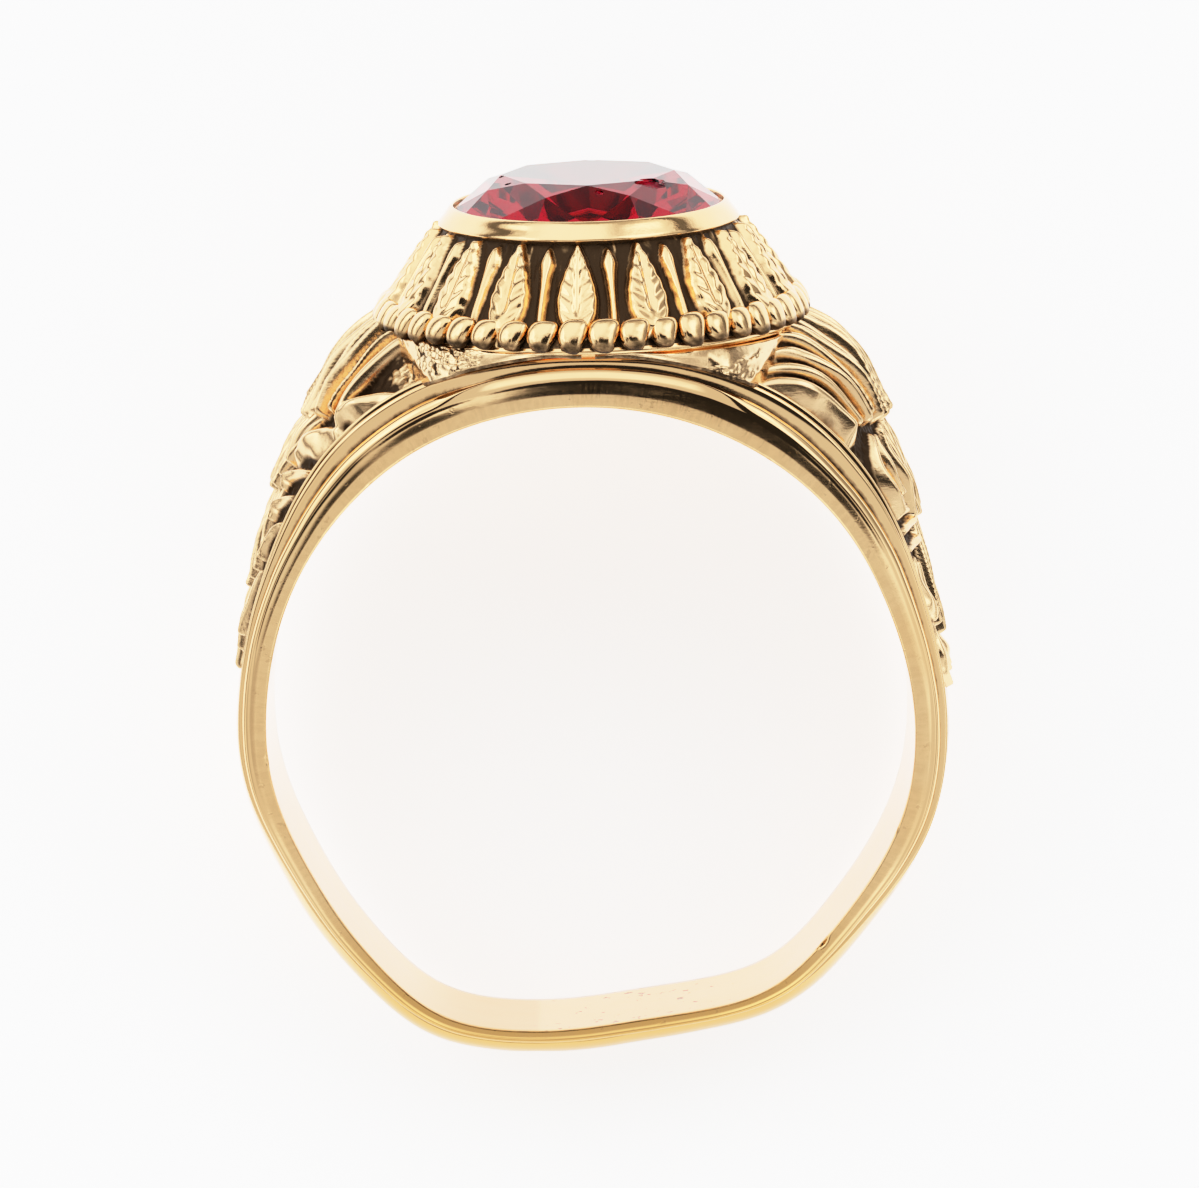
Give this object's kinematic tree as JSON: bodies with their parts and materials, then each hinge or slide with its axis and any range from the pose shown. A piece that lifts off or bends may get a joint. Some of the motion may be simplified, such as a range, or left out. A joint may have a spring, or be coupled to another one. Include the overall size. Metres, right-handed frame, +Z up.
{
  "type": "gemstone ring",
  "caption": "Gold ring with a red oval faceted stone in a raised collar, an oval head with upright leaves and a bead border, and leafy shoulders on a tapering shank.",
  "frame": {"origin": "on the floor under the middle of the ring's box, the ring lying on its side", "axes": "+Z up from the floor, -Y towards the stone, +X across the finger"},
  "size_m": [0.0226, 0.0276, 0.0153],
  "materials": {
    "gold": "worn polish with dark recesses",
    "stone": "faceted and polished, chipped at the table"
  },
  "bodies": {
    "root": {"ring_body": "gold", "stone": "stone"}
  },
  "joints": []
}
